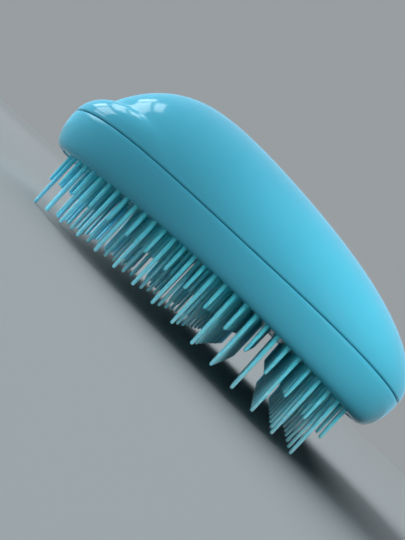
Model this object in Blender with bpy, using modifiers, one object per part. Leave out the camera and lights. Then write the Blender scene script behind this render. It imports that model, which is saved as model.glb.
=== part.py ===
"""Palm-held detangling hairbrush: a moulded cover, a rim band and a pad of flexible teeth.

The brush stands on its tooth tips: +Z points up through the cover, X runs along the brush from the
finger ledge (-X) to the rounded rear end (+X), and Y runs across it. The origin is the bottom centre
of the bounding box. All lengths are in metres.
"""
import math

import bmesh
import bpy
from mathutils import Matrix

# Outline at the seam, seen from above: two half superellipses that share one width
LENGTH = 0.115
WIDTH = 0.0704
WIDEST_X = 0.0058            # where the two halves meet
FRONT_POWER = 3.27
REAR_POWER = 3.17

# Heights above the tooth tips, as a polynomial of t, which runs from -1 to 1 along the length
SEAM_HEIGHT = (0.02666, -0.00158, -0.00013, 0.00171, -0.00238)
RIM_EDGE_HEIGHT = (0.01749, 0.00053, -0.00354, -0.00041)

# Cover: a hump over a low finger ledge at the front
HUMP_HEIGHT = 0.0278
HUMP_PEAK_X = -0.0210
HUMP_NOSE_X = -0.0556
HUMP_SHOULDER_X = -0.0010    # the hump is as wide as the outline behind this
HUMP_NOSE_POWER = 2.59
HUMP_SECTION_POWER = 1.86
HUMP_FRONT_POWERS = (2.93, 0.776)
HUMP_REAR_POWERS = (1.42, 0.422)
LEDGE_HEIGHT = 0.0088        # above the seam at x = 0, before it fades into the hump
LEDGE_SLOPE = 0.03           # the ledge rises towards the hump
LEDGE_EDGE = 0.119           # share of the outline taken by the ledge's rounded edge
LEDGE_FADE_X = (-0.0279, -0.0001)
CREASE_BLEND = 0.0008
COVER_THICKNESS = 0.0018

# Rim band: it curves in from the seam to its lower edge
RIM_SIDE_INSET = 0.0022
RIM_END_INSET = 0.0048
RIM_CURVE_POWER = 2.2
SHELF_DEPTH = 0.0022         # how far the shelf reaches over the pad
SHELF_THICKNESS = 0.0015
TONGUE_OUTER = 0.0030
TONGUE_INNER = 0.0041
TONGUE_HEIGHT = 0.0012
LANDING_DROP = 0.0006        # the landing under the cover slopes down towards the tongue

# Tooth pad
PAD_RECESS = 0.0005          # the pad's face sits this far above the rim's lower edge
PAD_THICKNESS = 0.0020
PAD_CLEARANCE = 0.0005       # between the pad's edge and the rim
TOOTH_ROOT_RADIUS = 0.00058
TOOTH_TIP_RADIUS = 0.00042
ROW_PITCH = 0.00617
FIRST_LONG_ROW_X = -0.0417
LONG_ROWS = 15
TOOTH_PITCH = 0.00608        # along a row
SHORT_TOOTH_STEP = 0.00726   # short tips are this much higher than long tips
TIP_ARCH = 0.00329
TOOTH_FIELD_FRONT = 0.0557   # half-axes of the toothed area, measured from WIDEST_X
TOOTH_FIELD_REAR = 0.0456
TOOTH_FIELD_HALF_WIDTH = 0.0317

COVER_COLOUR = (0.08, 0.42, 0.57)
TOOTH_COLOUR = (0.14, 0.48, 0.58)

GAP = 0.0003
OUTLINE_STEPS = 80
COVER_RINGS = 16
RIM_CURVE_STEPS = 7
PAD_STEPS = 26
PAD_END_CROWDING = 0.8       # below 1 the stations are closer together towards the ends
TOOTH_SIDES = 6
OVERLAP = 0.0008             # teeth start this deep inside the pad

HALF_WIDTH = WIDTH / 2
FRONT_AXIS = LENGTH / 2 + WIDEST_X
REAR_AXIS = LENGTH / 2 - WIDEST_X
LAST_LONG_ROW_X = FIRST_LONG_ROW_X + (LONG_ROWS - 1) * ROW_PITCH


def clear_scene():
    for obj in list(bpy.data.objects):
        bpy.data.objects.remove(obj, do_unlink=True)


def make_collection(name):
    collection = bpy.data.collections.new(name)
    bpy.context.scene.collection.children.link(collection)
    return collection


def make_material(name, colour, roughness):
    material = bpy.data.materials.new(name)
    material.use_nodes = True
    shader = material.node_tree.nodes["Principled BSDF"]
    shader.inputs["Base Color"].default_value = (*colour, 1.0)
    shader.inputs["Roughness"].default_value = roughness
    shader.inputs["Metallic"].default_value = 0.0
    return material


def height_at(terms, x):
    t = x / (LENGTH / 2)
    return sum(term * t ** power for power, term in enumerate(terms))


def signed_power(value, power):
    return math.copysign(abs(value) ** power, value)


def outline_point(angle, end_inset=0.0, side_inset=0.0):
    """A point of the outline, with its half-axes made shorter by the insets."""
    front = math.cos(angle) < 0
    axis = (FRONT_AXIS if front else REAR_AXIS) - end_inset
    exponent = 2 / (FRONT_POWER if front else REAR_POWER)
    x = WIDEST_X + axis * signed_power(math.cos(angle), exponent)
    y = (HALF_WIDTH - side_inset) * signed_power(math.sin(angle), exponent)
    return x, y


def half_width_at(x, front_axis, rear_axis, half_width):
    """Half the width at x of an outline with the given half-axes."""
    offset = x - WIDEST_X
    axis, power = (front_axis, FRONT_POWER) if offset < 0 else (rear_axis, REAR_POWER)
    return half_width * max(1 - min(abs(offset) / axis, 1) ** power, 0) ** (1 / power)


def smooth_step(value, low, high):
    t = min(max((value - low) / (high - low), 0), 1)
    return t * t * (3 - 2 * t)


def hump_crest(x):
    """Height of the hump above the seam along its middle."""
    if x > HUMP_PEAK_X:
        reach = (x - HUMP_PEAK_X) / (LENGTH / 2 - HUMP_PEAK_X)
        inner, outer = HUMP_REAR_POWERS
    else:
        reach = (HUMP_PEAK_X - x) / (HUMP_PEAK_X - HUMP_NOSE_X)
        inner, outer = HUMP_FRONT_POWERS
    return HUMP_HEIGHT * max(1 - min(reach, 1) ** inner, 0) ** outer


def hump_half_width(x):
    """The hump fills the outline, except at its narrower nose."""
    full = half_width_at(x, FRONT_AXIS, REAR_AXIS, HALF_WIDTH)
    reach = (HUMP_SHOULDER_X - x) / (HUMP_SHOULDER_X - HUMP_NOSE_X)
    nose = max(1 - min(max(reach, 0), 1) ** HUMP_NOSE_POWER, 0) ** (1 / HUMP_NOSE_POWER)
    return min(full, HALF_WIDTH * nose)


def cover_rise(x, y, ring):
    """Height of the cover above the seam: the higher of hump and ledge, with a soft crease."""
    half = hump_half_width(x)
    across = min(abs(y) / half, 1) if half > 0 else 1
    hump = hump_crest(x) * math.sqrt(1 - across ** HUMP_SECTION_POWER)
    edge = max((ring - 1 + LEDGE_EDGE) / LEDGE_EDGE, 0)
    fade = 1 - smooth_step(x, *LEDGE_FADE_X)
    ledge = (LEDGE_HEIGHT + LEDGE_SLOPE * x) * fade * math.sqrt(max(1 - edge ** 2, 0))
    step = abs(hump - ledge)
    blend = max(CREASE_BLEND - step, 0) ** 2 / (4 * CREASE_BLEND)
    return max(hump, ledge) + blend * min(min(hump, ledge) / (2 * CREASE_BLEND), 1)


def mesh_object(name, vertices, faces, collection, material=None):
    mesh = bpy.data.meshes.new(name)
    mesh.from_pydata(vertices, [], faces)
    mesh.update()
    obj = bpy.data.objects.new(name, mesh)
    collection.objects.link(obj)
    if material:
        mesh.materials.append(material)
    return obj


def shade_smooth(obj, angle_degrees):
    obj.data.shade_smooth()
    obj.data.set_sharp_from_angle(angle=math.radians(angle_degrees))


def make_cover(collection, material):
    """Open domed surface over the outline, thickened inwards."""
    vertices = []
    for ring in range(1, COVER_RINGS + 1):
        share = math.sin(math.pi / 2 * ring / COVER_RINGS)
        for step in range(OUTLINE_STEPS):
            x, y = outline_point(2 * math.pi * step / OUTLINE_STEPS)
            x = WIDEST_X + (x - WIDEST_X) * share
            y = y * share
            z = height_at(SEAM_HEIGHT, x) + GAP / 2 + cover_rise(x, y, share)
            vertices.append((x, y, z))
    top = height_at(SEAM_HEIGHT, WIDEST_X) + GAP / 2 + cover_rise(WIDEST_X, 0, 0)
    vertices.append((WIDEST_X, 0, top))
    centre = len(vertices) - 1
    faces = []
    for step in range(OUTLINE_STEPS):
        after = (step + 1) % OUTLINE_STEPS
        faces.append((centre, step, after))
        for ring in range(COVER_RINGS - 1):
            low = ring * OUTLINE_STEPS
            high = low + OUTLINE_STEPS
            faces.append((low + step, high + step, high + after, low + after))
    cover = mesh_object("handle_cover", vertices, faces, collection, material)
    shade_smooth(cover, 50)
    solidify = cover.modifiers.new("wall", "SOLIDIFY")
    solidify.thickness = COVER_THICKNESS
    solidify.offset = -1
    return cover


def rim_section():
    """Closed section of the rim band, from the seam down the outer curve and back up inside.

    Each point is its share of the curve's insets, a further inset, its share of the way down from
    the seam to the lower edge, and its height above that.
    """
    shelf = PAD_RECESS + PAD_THICKNESS + GAP
    points = [(0, 0, 0, -GAP / 2)]
    for step in range(1, RIM_CURVE_STEPS + 1):
        down = math.sin(math.pi / 2 * step / RIM_CURVE_STEPS)
        inward = 1 - max(1 - down ** RIM_CURVE_POWER, 0) ** (1 / RIM_CURVE_POWER)
        points.append((inward, 0, down, 0))
    points.append((1, 0, 1, shelf))
    points.append((1, SHELF_DEPTH, 1, shelf))
    points.append((1, SHELF_DEPTH, 1, shelf + SHELF_THICKNESS))
    points.append((0, TONGUE_INNER, 0, -TONGUE_HEIGHT))
    points.append((0, TONGUE_INNER, 0, TONGUE_HEIGHT))
    points.append((0, TONGUE_OUTER, 0, TONGUE_HEIGHT))
    points.append((0, TONGUE_OUTER, 0, -GAP / 2 - LANDING_DROP))
    return points


def make_rim(collection, material):
    """The section stretches between two arches, so the band is lofted round the outline."""
    section = rim_section()
    count = len(section)
    vertices = []
    faces = []
    for step in range(OUTLINE_STEPS):
        for inward, inset, down, offset in section:
            angle = 2 * math.pi * step / OUTLINE_STEPS
            x, y = outline_point(angle, inward * RIM_END_INSET + inset, inward * RIM_SIDE_INSET + inset)
            seam = height_at(SEAM_HEIGHT, x)
            z = seam + (height_at(RIM_EDGE_HEIGHT, x) - seam) * down + offset
            vertices.append((x, y, z))
        here = step * count
        there = (step + 1) % OUTLINE_STEPS * count
        for point in range(count):
            after = (point + 1) % count
            faces.append((here + point, here + after, there + after, there + point))
    rim = mesh_object("rim_band", vertices, faces, collection, material)
    shade_smooth(rim, 40)
    return rim


def pad_sections():
    """Stations along the pad, closer together towards its ends."""
    front_axis = FRONT_AXIS - RIM_END_INSET - PAD_CLEARANCE
    rear_axis = REAR_AXIS - RIM_END_INSET - PAD_CLEARANCE
    half_width = HALF_WIDTH - RIM_SIDE_INSET - PAD_CLEARANCE
    for step in range(1, PAD_STEPS + 2):
        along = signed_power(math.cos(math.pi * (1 - step / (PAD_STEPS + 2))), PAD_END_CROWDING)
        x = WIDEST_X + (front_axis if along < 0 else rear_axis) * along
        yield x, half_width_at(x, front_axis, rear_axis, half_width)


def tip_height(x):
    """Long tips lie on an arch, so the first and last long rows touch the ground."""
    middle = (FIRST_LONG_ROW_X + LAST_LONG_ROW_X) / 2
    half_span = (LAST_LONG_ROW_X - FIRST_LONG_ROW_X) / 2
    return TIP_ARCH * (1 - ((x - middle) / half_span) ** 2)


def tooth_rows():
    """Row positions and tip heights: short rows lie between and outside the long rows."""
    for index in range(2 * LONG_ROWS + 1):
        x = FIRST_LONG_ROW_X + (index - 1) / 2 * ROW_PITCH
        is_long = index % 2 == 1
        yield x, tip_height(x) + (0 if is_long else SHORT_TOOTH_STEP)


def row_teeth(x):
    """Even spacing across a row, with the outer teeth on the edge of the toothed area."""
    half = half_width_at(x, TOOTH_FIELD_FRONT, TOOTH_FIELD_REAR, TOOTH_FIELD_HALF_WIDTH)
    spaces = max(round(2 * half / TOOTH_PITCH), 1)
    return [-half + 2 * half * step / spaces for step in range(spaces + 1)]


def make_teeth(collection):
    """All the teeth as tapered pegs whose roots start inside the pad."""
    bm = bmesh.new()
    for x, tip in tooth_rows():
        root = height_at(RIM_EDGE_HEIGHT, x) + PAD_RECESS + OVERLAP
        place_z = (root + tip) / 2
        for y in row_teeth(x):
            bmesh.ops.create_cone(
                bm, cap_ends=True, segments=TOOTH_SIDES, depth=root - tip,
                radius1=TOOTH_TIP_RADIUS, radius2=TOOTH_ROOT_RADIUS,
                matrix=Matrix.Translation((x, y, place_z)))
    mesh = bpy.data.meshes.new("teeth")
    bm.to_mesh(mesh)
    bm.free()
    teeth = bpy.data.objects.new("teeth", mesh)
    teeth.hide_render = True
    teeth.display_type = "WIRE"
    collection.objects.link(teeth)
    return teeth


def make_pad(collection, teeth, material):
    """Arched plate with the teeth joined to its lower face."""
    vertices = []
    faces = []
    for x, half in pad_sections():
        low = height_at(RIM_EDGE_HEIGHT, x) + PAD_RECESS
        high = low + PAD_THICKNESS
        vertices += [(x, -half, low), (x, half, low), (x, half, high), (x, -half, high)]
    for station in range(PAD_STEPS):
        here = 4 * station
        for corner in range(4):
            after = (corner + 1) % 4
            faces.append((here + corner, here + after, here + 4 + after, here + 4 + corner))
    last = 4 * PAD_STEPS
    faces.append((0, 3, 2, 1))
    faces.append((last, last + 1, last + 2, last + 3))
    pad = mesh_object("tooth_pad", vertices, faces, collection, material)
    union = pad.modifiers.new("teeth", "BOOLEAN")
    union.operation = "UNION"
    union.solver = "EXACT"
    union.object = teeth
    return pad


def main():
    clear_scene()
    parts = make_collection("detangling_hairbrush")
    cutters = make_collection("joined_shapes")
    make_cover(parts, make_material("cover_plastic", COVER_COLOUR, 0.18))
    make_rim(parts, make_material("rim_plastic", COVER_COLOUR, 0.20))
    make_pad(parts, make_teeth(cutters), make_material("tooth_plastic", TOOTH_COLOUR, 0.35))


main()
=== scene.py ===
"""Looks of a palm-held detangling hairbrush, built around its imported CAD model."""
import math

import bmesh
import bpy
import numpy as np
from mathutils import Matrix, Vector


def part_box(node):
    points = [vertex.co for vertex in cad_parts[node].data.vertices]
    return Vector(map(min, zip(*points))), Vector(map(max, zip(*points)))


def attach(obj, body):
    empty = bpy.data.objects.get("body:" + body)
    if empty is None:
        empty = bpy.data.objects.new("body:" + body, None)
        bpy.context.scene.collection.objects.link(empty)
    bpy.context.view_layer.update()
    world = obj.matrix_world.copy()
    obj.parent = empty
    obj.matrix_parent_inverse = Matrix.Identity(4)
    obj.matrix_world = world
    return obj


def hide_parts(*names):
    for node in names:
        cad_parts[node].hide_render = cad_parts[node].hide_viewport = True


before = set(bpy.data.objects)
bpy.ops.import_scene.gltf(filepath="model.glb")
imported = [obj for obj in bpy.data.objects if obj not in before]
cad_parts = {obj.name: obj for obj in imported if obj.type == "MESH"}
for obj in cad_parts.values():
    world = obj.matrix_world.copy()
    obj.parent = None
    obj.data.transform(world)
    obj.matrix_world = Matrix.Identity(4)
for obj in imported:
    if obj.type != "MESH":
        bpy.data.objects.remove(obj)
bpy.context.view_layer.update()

# ---- The brush's shape, in metres; +Z up from the tooth tips, the finger ledge at -X ----
COVER_LOW, COVER_HIGH = (Vector(corner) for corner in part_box("handle_cover"))
LENGTH = COVER_HIGH.x - COVER_LOW.x
WIDTH = COVER_HIGH.y - COVER_LOW.y
HALF_LENGTH = LENGTH / 2
HALF_WIDTH = WIDTH / 2
WIDEST_X = 0.0058
FRONT_AXIS = HALF_LENGTH + WIDEST_X
REAR_AXIS = HALF_LENGTH - WIDEST_X
FRONT_POWER = 3.27
REAR_POWER = 3.17

SEAM_HEIGHT = (0.02666, -0.00158, -0.00013, 0.00171, -0.00238)
RIM_EDGE_HEIGHT = (0.01749, 0.00053, -0.00354, -0.00041)

HUMP_HEIGHT = 0.0278
HUMP_PEAK_X = -0.0210
HUMP_NOSE_X = -0.0556
HUMP_SHOULDER_X = -0.0010
HUMP_NOSE_POWER = 2.59
HUMP_SECTION_POWER = 1.86
HUMP_FRONT_POWERS = (2.93, 0.776)
HUMP_REAR_POWERS = (1.42, 0.422)
LEDGE_HEIGHT = 0.0088
LEDGE_SLOPE = 0.03
LEDGE_EDGE = 0.119
LEDGE_FADE_X = (-0.0279, -0.0001)
CREASE_BLEND = 0.0008
COVER_THICKNESS = 0.0018
LIP_RADIUS = 0.00045         # rounding of both edges at the seam
SEAM_GAP = 0.00005

RIM_SIDE_INSET = 0.0022
RIM_END_INSET = 0.0048
RIM_CURVE_POWER = 2.2
SHELF_DEPTH = 0.0022
SHELF_THICKNESS = 0.0015
TONGUE_OUTER = 0.0030
TONGUE_INNER = 0.0041
TONGUE_HEIGHT = 0.0012
LANDING_DROP = 0.0006

PAD_RECESS = 0.0003
PAD_THICKNESS = 0.0020
PAD_CLEARANCE = 0.0001
PAD_EDGE_RADIUS = 0.0002
TOOTH_ROOT_RADIUS = 0.00058
TOOTH_TIP_RADIUS = 0.00042
TOOTH_FILLET = 0.00045
ROW_PITCH = 0.00617
FIRST_LONG_ROW_X = -0.0417
LONG_ROWS = 15
TOOTH_PITCH = 0.00608
SHORT_TOOTH_STEP = 0.00726
TIP_ARCH = 0.00329
TOOTH_FIELD_FRONT = 0.0557
TOOTH_FIELD_REAR = 0.0456
TOOTH_FIELD_HALF_WIDTH = 0.0317
TOOTH_LEAN = 0.00005         # how far a tip strays from straight, one standard deviation
MOST_LEAN = 0.00012

OUTLINE_STEPS = 320
COVER_RINGS = 110
RIM_CURVE_STEPS = 28
TOOTH_SIDES = 12

# ---- Plastics; colours are linear ----
RIPPLE_HEIGHT = 0.00002      # of the very fine surface ripple, in metres
PAINTED_LIGHT_HEIGHT = (0.017, 0.002)    # painted light: a tooth's colour is painted paler from the first height down to the second, as if its tip were lit more strongly than its root
SCATTER_RADIUS = (0.4, 1.0, 1.2)
CASING_SCATTER = 0.001
TOOTH_SCATTER = 0.0015
TURQUOISE = (0.052, 0.36, 0.49)
TOOTH_ROOT_TURQUOISE = (0.055, 0.45, 0.53)
# painted light: the paler colour painted on the tooth tips, as if they were lit more strongly than the
# roots
PAINTED_LIT_TIP_TURQUOISE = (0.26, 0.56, 0.67)


def height_at(terms, x):
    t = x / HALF_LENGTH
    return sum(term * t ** power for power, term in enumerate(terms))


def signed_power(value, power):
    return math.copysign(abs(value) ** power, value)


def outline_point(angle, end_inset=0.0, side_inset=0.0):
    """A point of the outline seen from above, with its half-axes made shorter by the insets."""
    front = math.cos(angle) < 0
    axis = (FRONT_AXIS if front else REAR_AXIS) - end_inset
    exponent = 2 / (FRONT_POWER if front else REAR_POWER)
    x = WIDEST_X + axis * signed_power(math.cos(angle), exponent)
    y = (HALF_WIDTH - side_inset) * signed_power(math.sin(angle), exponent)
    return x, y


def half_width_at(x, front_axis, rear_axis, half_width):
    """Half the width at x of an outline with the given half-axes."""
    offset = x - WIDEST_X
    axis, power = (front_axis, FRONT_POWER) if offset < 0 else (rear_axis, REAR_POWER)
    return half_width * max(1 - min(abs(offset) / axis, 1) ** power, 0) ** (1 / power)


def smooth_step(value, low, high):
    t = min(max((value - low) / (high - low), 0), 1)
    return t * t * (3 - 2 * t)


def hump_crest(x):
    """Height of the hump above the seam along its middle."""
    if x > HUMP_PEAK_X:
        reach = (x - HUMP_PEAK_X) / (HALF_LENGTH - HUMP_PEAK_X)
        inner, outer = HUMP_REAR_POWERS
    else:
        reach = (HUMP_PEAK_X - x) / (HUMP_PEAK_X - HUMP_NOSE_X)
        inner, outer = HUMP_FRONT_POWERS
    return HUMP_HEIGHT * max(1 - min(reach, 1) ** inner, 0) ** outer


def hump_half_width(x):
    """The hump fills the outline, except at its narrower nose."""
    full = half_width_at(x, FRONT_AXIS, REAR_AXIS, HALF_WIDTH)
    reach = (HUMP_SHOULDER_X - x) / (HUMP_SHOULDER_X - HUMP_NOSE_X)
    nose = max(1 - min(max(reach, 0), 1) ** HUMP_NOSE_POWER, 0) ** (1 / HUMP_NOSE_POWER)
    return min(full, HALF_WIDTH * nose)


def cover_rise(x, y, ring):
    """Height of the cover above the seam: the higher of hump and ledge, with a soft crease."""
    half = hump_half_width(x)
    across = min(abs(y) / half, 1) if half > 0 else 1
    hump = hump_crest(x) * math.sqrt(1 - across ** HUMP_SECTION_POWER)
    edge = max((ring - 1 + LEDGE_EDGE) / LEDGE_EDGE, 0)
    fade = 1 - smooth_step(x, *LEDGE_FADE_X)
    ledge = (LEDGE_HEIGHT + LEDGE_SLOPE * x) * fade * math.sqrt(max(1 - edge ** 2, 0))
    step = abs(hump - ledge)
    blend = max(CREASE_BLEND - step, 0) ** 2 / (4 * CREASE_BLEND)
    return max(hump, ledge) + blend * min(min(hump, ledge) / (2 * CREASE_BLEND), 1)


# ---- Meshes ----
def mesh_object(name, vertices, faces):
    mesh = bpy.data.meshes.new(name)
    mesh.from_pydata(vertices, [], faces)
    mesh.update()
    obj = bpy.data.objects.new(name, mesh)
    bpy.context.scene.collection.objects.link(obj)
    return obj


def face_outwards(obj):
    """Turns every face of a closed mesh to point out of it."""
    bm = bmesh.new()
    bm.from_mesh(obj.data)
    bmesh.ops.recalc_face_normals(bm, faces=bm.faces)
    bm.to_mesh(obj.data)
    bm.free()


def apply_modifiers(obj):
    """Replaces the mesh by what its modifiers make of it."""
    graph = bpy.context.evaluated_depsgraph_get()
    mesh = bpy.data.meshes.new_from_object(obj.evaluated_get(graph))
    obj.modifiers.clear()
    obj.data = mesh


def shade_smooth(obj, degrees):
    obj.data.shade_smooth()
    obj.data.set_sharp_from_angle(angle=math.radians(degrees))


def ring_faces(rows, count):
    """Quads between neighbouring closed rows of count points each."""
    faces = []
    for row in range(rows - 1):
        low = row * count
        high = low + count
        for step in range(count):
            after = (step + 1) % count
            faces.append((low + step, high + step, high + after, low + after))
    return faces


def make_cover():
    """Open domed surface with a rounded lower lip, thickened inwards."""
    squeeze = 1 - LIP_RADIUS / HUMP_HEIGHT
    base = SEAM_GAP / 2 + LIP_RADIUS
    vertices = []
    for ring in range(1, COVER_RINGS + 1):
        share = math.sin(math.pi / 2 * ring / COVER_RINGS)
        for step in range(OUTLINE_STEPS):
            x, y = outline_point(2 * math.pi * step / OUTLINE_STEPS)
            x = WIDEST_X + (x - WIDEST_X) * share
            y = y * share
            z = height_at(SEAM_HEIGHT, x) + base + squeeze * cover_rise(x, y, share)
            vertices.append((x, y, z))
    for degrees in (22, 45, 68, 90):
        angle = math.radians(degrees)
        inset = LIP_RADIUS * (1 - math.cos(angle))
        drop = LIP_RADIUS * math.sin(angle)
        for step in range(OUTLINE_STEPS):
            x, y = outline_point(2 * math.pi * step / OUTLINE_STEPS, inset, inset)
            vertices.append((x, y, height_at(SEAM_HEIGHT, x) + base - drop))
    faces = ring_faces(COVER_RINGS + 4, OUTLINE_STEPS)
    top = height_at(SEAM_HEIGHT, WIDEST_X) + base + squeeze * cover_rise(WIDEST_X, 0, 0)
    vertices.append((WIDEST_X, 0, top))
    centre = len(vertices) - 1
    for step in range(OUTLINE_STEPS):
        faces.append((centre, step, (step + 1) % OUTLINE_STEPS))
    cover = mesh_object("cover_shell", vertices, faces)
    solidify = cover.modifiers.new("wall", "SOLIDIFY")
    solidify.thickness = COVER_THICKNESS
    solidify.offset = -1
    apply_modifiers(cover)
    shade_smooth(cover, 60)
    return cover


def rim_section():
    """Closed section of the rim band, from the rounded seam edge down the curve and up inside.

    Each point is its share of the curve's insets, a further inset, its share of the way down from
    the seam to the lower edge, and its height above that.
    """
    shelf = PAD_RECESS + PAD_THICKNESS + 2 * SEAM_GAP
    landing = -SEAM_GAP / 2
    points = []
    for degrees in (90, 72, 54, 36, 18):
        angle = math.radians(degrees)
        inset = LIP_RADIUS * (1 - math.cos(angle))
        points.append((0, inset, 0, landing - LIP_RADIUS * (1 - math.sin(angle))))
    for step in range(2, RIM_CURVE_STEPS + 1):
        down = math.sin(math.pi / 2 * step / RIM_CURVE_STEPS)
        inward = 1 - max(1 - down ** RIM_CURVE_POWER, 0) ** (1 / RIM_CURVE_POWER)
        points.append((inward, 0, down, 0))
    points.append((1, 0, 1, shelf))
    points.append((1, SHELF_DEPTH, 1, shelf))
    points.append((1, SHELF_DEPTH, 1, shelf + SHELF_THICKNESS))
    points.append((0, TONGUE_INNER, 0, -TONGUE_HEIGHT))
    points.append((0, TONGUE_INNER, 0, TONGUE_HEIGHT))
    points.append((0, TONGUE_OUTER, 0, TONGUE_HEIGHT))
    points.append((0, TONGUE_OUTER, 0, landing - LANDING_DROP))
    return points


def make_rim():
    """The section stretches between two arches, so the band is lofted round the outline."""
    section = rim_section()
    count = len(section)
    vertices = []
    for step in range(OUTLINE_STEPS):
        angle = 2 * math.pi * step / OUTLINE_STEPS
        for inward, inset, down, offset in section:
            end_inset = inward * RIM_END_INSET + inset
            x, y = outline_point(angle, end_inset, inward * RIM_SIDE_INSET + inset)
            seam = height_at(SEAM_HEIGHT, x)
            edge = height_at(RIM_EDGE_HEIGHT, x)
            vertices.append((x, y, seam + (edge - seam) * down + offset))
    faces = ring_faces(OUTLINE_STEPS, count)
    last = (OUTLINE_STEPS - 1) * count
    for point in range(count):
        after = (point + 1) % count
        faces.append((last + point, point, after, last + after))
    rim = mesh_object("rim_shell", vertices, faces)
    face_outwards(rim)
    shade_smooth(rim, 50)
    return rim


def tip_height(x):
    """Long tips lie on an arch, so the first and last long rows touch the ground."""
    last = FIRST_LONG_ROW_X + (LONG_ROWS - 1) * ROW_PITCH
    middle = (FIRST_LONG_ROW_X + last) / 2
    return TIP_ARCH * (1 - ((x - middle) / (last - middle)) ** 2)


def tooth_places():
    """Root place and tip height of every tooth, row by row; short rows lie between long ones."""
    for index in range(2 * LONG_ROWS + 1):
        x = FIRST_LONG_ROW_X + (index - 1) / 2 * ROW_PITCH
        tip = tip_height(x) + (0 if index % 2 == 1 else SHORT_TOOTH_STEP)
        half = half_width_at(x, TOOTH_FIELD_FRONT, TOOTH_FIELD_REAR, TOOTH_FIELD_HALF_WIDTH)
        spaces = max(round(2 * half / TOOTH_PITCH), 1)
        for step in range(spaces + 1):
            yield x, -half + 2 * half * step / spaces, tip


def tooth_rings(root, tip):
    """Heights and radii of a tooth, from inside the pad to the rounded tip."""
    rings = [(root + 2 * TOOTH_FILLET, TOOTH_ROOT_RADIUS)]
    for degrees in (0, 30, 60, 90):
        angle = math.radians(degrees)
        flare = TOOTH_FILLET * (1 - math.sin(angle))
        rings.append((root - TOOTH_FILLET * (1 - math.cos(angle)), TOOTH_ROOT_RADIUS + flare))
    shoulder = tip + TOOTH_TIP_RADIUS
    for share in (0.35, 0.7, 1.0):
        height = root - TOOTH_FILLET + (shoulder - root + TOOTH_FILLET) * share
        radius = TOOTH_ROOT_RADIUS + (TOOTH_TIP_RADIUS - TOOTH_ROOT_RADIUS) * share
        rings.append((height, radius))
    for degrees in (30, 55, 75):
        angle = math.radians(degrees)
        rings.append((shoulder - TOOTH_TIP_RADIUS * math.sin(angle), TOOTH_TIP_RADIUS * math.cos(angle)))
    return rings


def make_teeth():
    """Every tooth as a closed turned peg whose tip strays a little, as flexible teeth do."""
    strays = np.random.default_rng(12)
    vertices = []
    faces = []
    for x, y, tip in tooth_places():
        root = height_at(RIM_EDGE_HEIGHT, x) + PAD_RECESS
        stray = np.clip(strays.normal(0, TOOTH_LEAN, 2), -MOST_LEAN, MOST_LEAN)
        first = len(vertices)
        rings = tooth_rings(root, tip)
        for height, radius in rings:
            bend = min(max((root - height) / (root - tip), 0), 1) ** 2
            for side in range(TOOTH_SIDES):
                angle = 2 * math.pi * side / TOOTH_SIDES
                px = x + stray[0] * bend + radius * math.cos(angle)
                py = y + stray[1] * bend + radius * math.sin(angle)
                vertices.append((px, py, height))
        faces += [tuple(first + point for point in face) for face in ring_faces(len(rings), TOOTH_SIDES)]
        vertices.append((x + stray[0], y + stray[1], tip))
        low = first + (len(rings) - 1) * TOOTH_SIDES
        for side in range(TOOTH_SIDES):
            faces.append((len(vertices) - 1, low + (side + 1) % TOOTH_SIDES, low + side))
        faces.append(tuple(first + side for side in range(TOOTH_SIDES)))
    teeth = mesh_object("teeth", vertices, faces)
    face_outwards(teeth)
    return teeth


def pad_rows():
    """Closed rows round the pad: its upper face, rounded edge and lower face, inside out and in."""
    rows = [(0, share, PAD_THICKNESS) for share in (0.2, 0.4, 0.6, 0.8, 1.0)]
    for degrees in (0, 30, 60, 90):
        angle = math.radians(degrees)
        inset = PAD_EDGE_RADIUS * (1 - math.cos(angle))
        rows.append((inset, 1.0, PAD_EDGE_RADIUS * (1 - math.sin(angle))))
    rows += [(PAD_EDGE_RADIUS, share, 0) for share in (0.93, 0.8, 0.6, 0.4, 0.2)]
    return rows


def make_pad():
    """Arched plate with a rounded lower edge, and the teeth joined to its lower face."""
    rows = pad_rows()
    vertices = []
    for inset, share, up in rows:
        for step in range(OUTLINE_STEPS):
            end_inset = RIM_END_INSET + PAD_CLEARANCE + inset
            side_inset = RIM_SIDE_INSET + PAD_CLEARANCE + inset
            x, y = outline_point(2 * math.pi * step / OUTLINE_STEPS, end_inset, side_inset)
            x = WIDEST_X + (x - WIDEST_X) * share
            vertices.append((x, y * share, height_at(RIM_EDGE_HEIGHT, x) + PAD_RECESS + up))
    faces = ring_faces(len(rows), OUTLINE_STEPS)
    low = height_at(RIM_EDGE_HEIGHT, WIDEST_X) + PAD_RECESS
    top_centre = len(vertices)
    vertices.append((WIDEST_X, 0, low + PAD_THICKNESS))
    vertices.append((WIDEST_X, 0, low))
    last_row = (len(rows) - 1) * OUTLINE_STEPS
    for step in range(OUTLINE_STEPS):
        after = (step + 1) % OUTLINE_STEPS
        faces.append((top_centre, step, after))
        faces.append((top_centre + 1, last_row + after, last_row + step))
    pad = mesh_object("toothed_pad", vertices, faces)
    face_outwards(pad)
    teeth = make_teeth()
    union = pad.modifiers.new("teeth", "BOOLEAN")
    union.operation = "UNION"
    union.solver = "EXACT"
    union.object = teeth
    apply_modifiers(pad)
    bpy.data.objects.remove(teeth, do_unlink=True)
    shade_smooth(pad, 60)
    return pad


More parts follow.
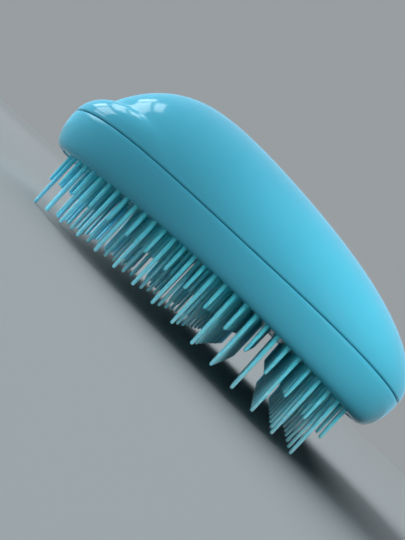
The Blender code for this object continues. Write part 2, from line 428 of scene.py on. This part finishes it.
# ---- Materials ----
class Nodes:
    """Short calls for building one material's node tree."""

    def __init__(self, name):
        self.material = bpy.data.materials.new(name)
        self.material.use_nodes = True
        self.tree = self.material.node_tree
        self.shader = self.tree.nodes["Principled BSDF"]

    def add(self, kind, **values):
        node = self.tree.nodes.new(kind)
        for key, value in values.items():
            setattr(node, key, value)
        return node

    def link(self, output, target):
        self.tree.links.new(output, target)

    def noise(self, vector, scale, detail):
        node = self.add("ShaderNodeTexNoise")
        node.inputs["Scale"].default_value = scale
        node.inputs["Detail"].default_value = detail
        self.link(vector, node.inputs["Vector"])
        return node.outputs["Fac"]

    def ranged(self, value, low, high, start=0.0, end=1.0):
        node = self.add("ShaderNodeMapRange")
        node.inputs["From Min"].default_value = start
        node.inputs["From Max"].default_value = end
        node.inputs["To Min"].default_value = low
        node.inputs["To Max"].default_value = high
        self.link(value, node.inputs["Value"])
        return node.outputs["Result"]


def colour_drift(nodes, place, colour, mottle):
    """Faint uneven tint of a moulded colour."""
    drift = nodes.noise(place, scale=45, detail=3)
    ramp = nodes.add("ShaderNodeValToRGB")
    darker = tuple(channel * (1 - mottle) for channel in colour)
    lighter = tuple(min(channel * (1 + mottle), 1) for channel in colour)
    ramp.color_ramp.elements[0].position = 0.3
    ramp.color_ramp.elements[0].color = (*darker, 1)
    ramp.color_ramp.elements[1].position = 0.7
    ramp.color_ramp.elements[1].color = (*lighter, 1)
    nodes.link(drift, ramp.inputs["Fac"])
    return ramp.outputs["Color"]


def plastic(name, colour, roughness, mottle, gloss, subsurface):
    """Moulded plastic: faint colour drift, uneven gloss and a very fine surface ripple."""
    nodes = Nodes(name)
    place = nodes.add("ShaderNodeTexCoord").outputs["Object"]
    nodes.link(colour_drift(nodes, place, colour, mottle), nodes.shader.inputs["Base Color"])
    smudge = nodes.noise(place, scale=160, detail=6)
    uneven = nodes.ranged(smudge, roughness * 0.8, roughness * 1.3, 0.3, 0.7)
    nodes.link(uneven, nodes.shader.inputs["Roughness"])
    ripple = nodes.noise(place, scale=900, detail=2)
    bump = nodes.add("ShaderNodeBump")
    bump.inputs["Strength"].default_value = 0.12
    bump.inputs["Distance"].default_value = RIPPLE_HEIGHT
    nodes.link(ripple, bump.inputs["Height"])
    nodes.link(bump.outputs["Normal"], nodes.shader.inputs["Normal"])
    nodes.shader.inputs["IOR"].default_value = 1.5
    nodes.shader.inputs["Specular IOR Level"].default_value = gloss
    nodes.shader.inputs["Subsurface Weight"].default_value = subsurface
    nodes.shader.inputs["Subsurface Radius"].default_value = SCATTER_RADIUS
    nodes.shader.inputs["Subsurface Scale"].default_value = CASING_SCATTER
    return nodes


def tooth_plastic():
    """Translucent plastic with painted light: its colour is painted paler towards the free ends of the
    teeth, as if the tips were lit more strongly than the shaded roots.
    """
    nodes = plastic("tooth_satin", TOOTH_ROOT_TURQUOISE, roughness=0.28, mottle=0.03, gloss=0.3,
                    subsurface=1.0)
    root_colour = nodes.shader.inputs["Base Color"].links[0].from_socket
    place = nodes.tree.nodes["Texture Coordinate"].outputs["Object"]
    # painted light: the colour goes by height from the root colour to the paler tip colour, as if the
    # tips were lit more strongly
    split = nodes.add("ShaderNodeSeparateXYZ")
    nodes.link(place, split.inputs["Vector"])
    mix = nodes.add("ShaderNodeMix", data_type="RGBA")
    nodes.link(nodes.ranged(split.outputs["Z"], 0, 1, *PAINTED_LIGHT_HEIGHT), mix.inputs["Factor"])
    nodes.link(root_colour, mix.inputs["A"])
    mix.inputs["B"].default_value = (*PAINTED_LIT_TIP_TURQUOISE, 1)
    nodes.link(mix.outputs["Result"], nodes.shader.inputs["Base Color"])
    nodes.shader.inputs["Subsurface Scale"].default_value = TOOTH_SCATTER
    return nodes


def floor_material():
    nodes = Nodes("pale_floor")
    nodes.shader.inputs["Base Color"].default_value = (FLOOR_GREY, FLOOR_GREY, FLOOR_GREY, 1)
    nodes.shader.inputs["Roughness"].default_value = 0.9
    nodes.shader.inputs["Specular IOR Level"].default_value = 0
    return nodes.material


# ---- Studio ----
# The camera has the photograph's viewing angle; the brush stands on its teeth here
VIEW_RIGHT = Vector((0.7177, 0.1429, 0.6817))
VIEW_UP = Vector((-0.6623, -0.1628, 0.7315))
CAMERA_PLACE = Vector((0.0250, -0.1234, 0.0143))
CAMERA_LENS = 28.67
FLOOR_SIZE = 6
FLOOR_GREY = 0.33
AMBIENT = 0.07               # strength of the even light on matt surfaces
BACKDROP_COLOUR = (0.315, 0.34, 0.355)    # near that of the lit floor
MIRRORED_SKY = (0.42, 0.72, 0.95)
SKY_COLOUR = (0.88, 0.96, 1.0)
OVERHEAD_COLOUR = (0.80, 0.94, 1.0)
SKY_DIRECTION = (-0.90, 0.10, 0.42)
SKY_STRENGTH = 4.4
SKY_SPAN = 42                # degrees
OVERHEAD_DIRECTION = (-0.35, 0.12, 0.93)
OVERHEAD_STRENGTH = 1.6
OVERHEAD_SPAN = 70
NEAR_FILL_SPREAD = 110
WINDOW_DISTANCE = 0.7
WINDOW_RADIANCE = 3.2
# The window's panes as the brush sees them: sine of the angle to either side, then of the angle up
WINDOW_PANES = (
    ((-0.30, -0.02), (0.15, 0.20)),
    ((-0.25, 0.05), (0.24, 0.43)),
    ((0.10, 0.28), (0.26, 0.43)),
    ((-0.08, 0.22), (0.48, 0.60)),
    ((0.25, 0.35), (0.48, 0.60)),
    ((-0.05, 0.20), (0.63, 0.70)),
)


def make_camera():
    right = VIEW_RIGHT.normalized()
    up = (VIEW_UP - VIEW_UP.project(right)).normalized()
    back = right.cross(up)
    camera = bpy.data.objects.new("camera", bpy.data.cameras.new("camera"))
    camera.data.sensor_width = 36
    camera.data.sensor_fit = "AUTO"
    camera.data.lens = CAMERA_LENS
    camera.data.clip_start = 0.005
    turn = Matrix((right, up, back)).transposed()
    camera.matrix_world = Matrix.Translation(CAMERA_PLACE) @ turn.to_4x4()
    bpy.context.scene.collection.objects.link(camera)
    bpy.context.scene.camera = camera


def add_light(name, kind, place, aim):
    """A light at a place, turned towards another place."""
    obj = bpy.data.objects.new(name, bpy.data.lights.new(name, kind))
    obj.location = place
    obj.rotation_euler = (Vector(place) - Vector(aim)).to_track_quat("Z", "Y").to_euler()
    obj.visible_camera = False
    bpy.context.scene.collection.objects.link(obj)
    return obj


def area_light(name, place, size, power, aim):
    """A rectangular light that is left out of reflections, so it only softens the shading."""
    obj = add_light(name, "AREA", place, aim)
    obj.data.shape = "RECTANGLE"
    obj.data.size, obj.data.size_y = size
    obj.data.energy = power
    obj.visible_glossy = False
    return obj


def make_window(aim):
    """Panes of a bright window to the left, which the glossy plastic mirrors."""
    for index, (across, up) in enumerate(WINDOW_PANES):
        side = sum(across) / 2
        height = sum(up) / 2
        depth = math.sqrt(1 - side ** 2 - height ** 2)
        place = aim + WINDOW_DISTANCE * Vector((-depth, side, height))
        width = WINDOW_DISTANCE * (across[1] - across[0])
        tall = WINDOW_DISTANCE * (up[1] - up[0]) / math.sqrt(1 - height ** 2)
        pane = add_light(f"window_{index}", "AREA", place, aim)
        pane.data.shape = "RECTANGLE"
        pane.data.size = width
        pane.data.size_y = tall
        pane.data.energy = WINDOW_RADIANCE * math.pi * width * tall
        pane.data.color = SKY_COLOUR


def sky_light(name, direction, strength, span, colour):
    """Broad daylight from one side, left out of reflections."""
    sky = add_light(name, "SUN", direction, (0, 0, 0))
    sky.data.energy = strength
    sky.data.angle = math.radians(span)
    sky.data.color = colour
    sky.visible_glossy = False


def make_floor():
    bpy.ops.mesh.primitive_plane_add(size=FLOOR_SIZE, location=(0, 0, 0))
    floor = bpy.context.active_object
    floor.name = "floor"
    floor.data.materials.append(floor_material())


def make_world():
    """Dim even light on matt surfaces, a blue sky in the gloss and a pale backdrop to the eye."""
    world = bpy.data.worlds.new("studio")
    world.use_nodes = True
    world.cycles.sampling_method = "NONE"
    tree = world.node_tree
    rays = tree.nodes.new("ShaderNodeLightPath")
    backdrop = tree.nodes["Background"]
    backdrop.inputs["Color"].default_value = (*BACKDROP_COLOUR, 1)
    seen = backdrop.outputs[0]
    skies = (("Is Glossy Ray", MIRRORED_SKY, 1), ("Is Diffuse Ray", SKY_COLOUR, AMBIENT))
    for ray, colour, strength in skies:
        background = tree.nodes.new("ShaderNodeBackground")
        background.inputs["Color"].default_value = (*colour, 1)
        background.inputs["Strength"].default_value = strength
        mix = tree.nodes.new("ShaderNodeMixShader")
        tree.links.new(rays.outputs[ray], mix.inputs[0])
        tree.links.new(seen, mix.inputs[1])
        tree.links.new(background.outputs[0], mix.inputs[2])
        seen = mix.outputs[0]
    tree.links.new(seen, tree.nodes["World Output"].inputs["Surface"])
    bpy.context.scene.world = world


def light_only(pieces, *lights):
    """Lets some lights reach only these pieces, so that the floor stays even."""
    lit = bpy.data.collections.new("lit_pieces")
    for piece in pieces:
        lit.objects.link(piece)
    for light in lights:
        light.light_linking.receiver_collection = lit


def make_studio(casing, pad):
    bpy.context.scene.view_settings.view_transform = "Standard"
    make_camera()
    make_world()
    make_floor()
    ledge_height = COVER_LOW.z + 0.25 * (COVER_HIGH.z - COVER_LOW.z)
    make_window(Vector((-0.66 * HALF_LENGTH, -0.8 * HALF_WIDTH, ledge_height)))
    sky_light("side_sky", SKY_DIRECTION, SKY_STRENGTH, SKY_SPAN, SKY_COLOUR)
    sky_light("overhead_sky", OVERHEAD_DIRECTION, OVERHEAD_STRENGTH, OVERHEAD_SPAN, OVERHEAD_COLOUR)
    near_fill = area_light("near_fill", place=(0.070, -0.09, 0.080), size=(0.06, 0.06),
                           power=0.042, aim=(0.03, 0, 0.03))
    near_fill.data.spread = math.radians(NEAR_FILL_SPREAD)
    low_front = area_light("low_front", place=(-0.50, 0.0, 0.050), size=(0.20, 0.07),
                           power=0.8, aim=(0, 0, 0.008))
    light_only((*casing, pad), near_fill, low_front)
    tooth_fill = area_light("tooth_fill", place=(0.06, -0.25, 0.010), size=(0.14, 0.03),
                            power=0.12, aim=(0.01, 0, 0.010))
    light_only((pad,), tooth_fill)


def finish_piece(piece, node, material):
    piece.data.materials.clear()
    piece.data.materials.append(material)
    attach(piece, "root")
    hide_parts(node)
    return piece


cover_gloss = plastic("cover_gloss", TURQUOISE, roughness=0.09, mottle=0.02, gloss=0.38, subsurface=0.15)
rim_gloss = plastic("rim_gloss", TURQUOISE, roughness=0.14, mottle=0.02, gloss=0.38, subsurface=0.15)
cover = finish_piece(make_cover(), "handle_cover", cover_gloss.material)
rim = finish_piece(make_rim(), "rim_band", rim_gloss.material)
pad = finish_piece(make_pad(), "tooth_pad", tooth_plastic().material)
make_studio((cover, rim), pad)
